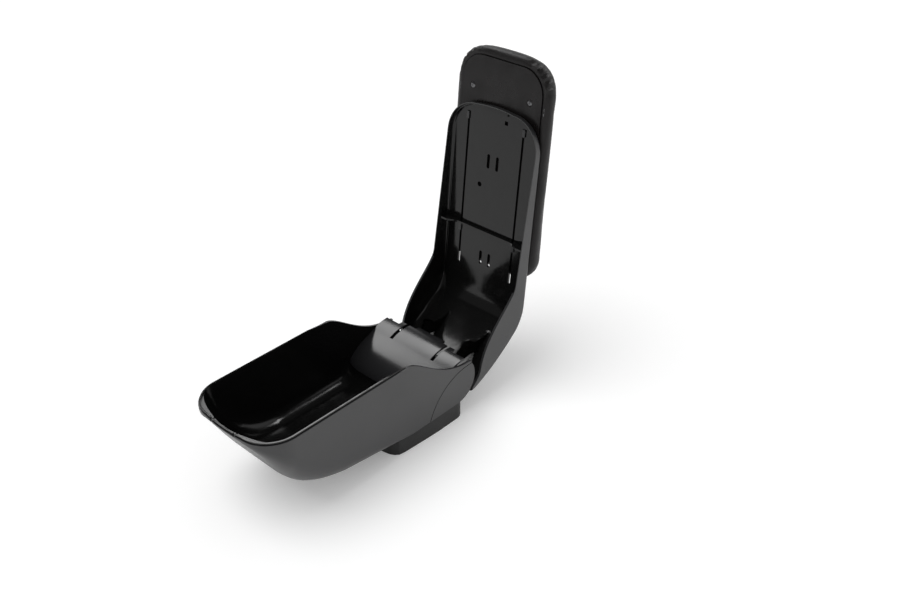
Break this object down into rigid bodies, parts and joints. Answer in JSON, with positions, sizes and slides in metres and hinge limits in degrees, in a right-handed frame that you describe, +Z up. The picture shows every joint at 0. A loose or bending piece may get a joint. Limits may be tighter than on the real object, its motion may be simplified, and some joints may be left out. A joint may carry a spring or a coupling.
{
  "type": "car centre armrest",
  "caption": "Car centre armrest: boat-shaped storage tray on a bolt-down foot, a hinged lid that swings up and back on a steel pin, and a padded top that slides along the lid.",
  "frame": {"origin": "centre of the foot's four-hole bolt pattern, on the underside of the foot", "axes": "+X towards the front of the tray, +Y to the side that is on the left seen from the hinge, +Z up, along the bolts"},
  "size_m": [0.4227, 0.127, 0.3657],
  "materials": {
    "shell_plastic": "satin, fine-textured outside, glossy inside",
    "cover_plastic": "satin",
    "foot_plastic": "coarse matte texture",
    "lid_plastic": "glossy inside, satin outside",
    "plate_plastic": "matte",
    "glide_plastic": "smooth",
    "tube_plastic": "smooth",
    "screw_steel": "zinc plated",
    "pin_steel": "bright drawn",
    "board_wood": "raw fibreboard",
    "foam": "moulded foam",
    "leatherette": "black grained leatherette"
  },
  "bodies": {
    "base": {"tray": "shell_plastic", "rear_cap": "shell_plastic", "hinge_cover": "cover_plastic", "foot": "foot_plastic", "foot_screws": "screw_steel", "cap_screws": "screw_steel", "cover_screws": "screw_steel", "hinge_pin": "pin_steel", "pin_rings": "pin_steel", "hinge_washers": "pin_steel", "spacer_tube": "tube_plastic", "side_spacers": "tube_plastic"},
    "lid": {"lid_shell": "lid_plastic", "glide_strips": "glide_plastic"},
    "pad": {"slide_plate": "plate_plastic", "runner_hooks": "glide_plastic", "plate_screws": "screw_steel", "pad_board": "board_wood", "pad_foam": "foam", "pad_cover": "leatherette", "cover_staples": "screw_steel"}
  },
  "joints": [
    {"name": "lid_hinge", "type": "hinge", "parent": "base", "child": "lid", "pos_m": [-0.06, 0, 0.0483], "axis": [0, 1, 0], "range_deg": [0, 100]},
    {"name": "pad_slide", "type": "slide", "parent": "lid", "child": "pad", "axis": [0.0993, 0, -0.9951], "range_m": [0, 0.04]}
  ]
}
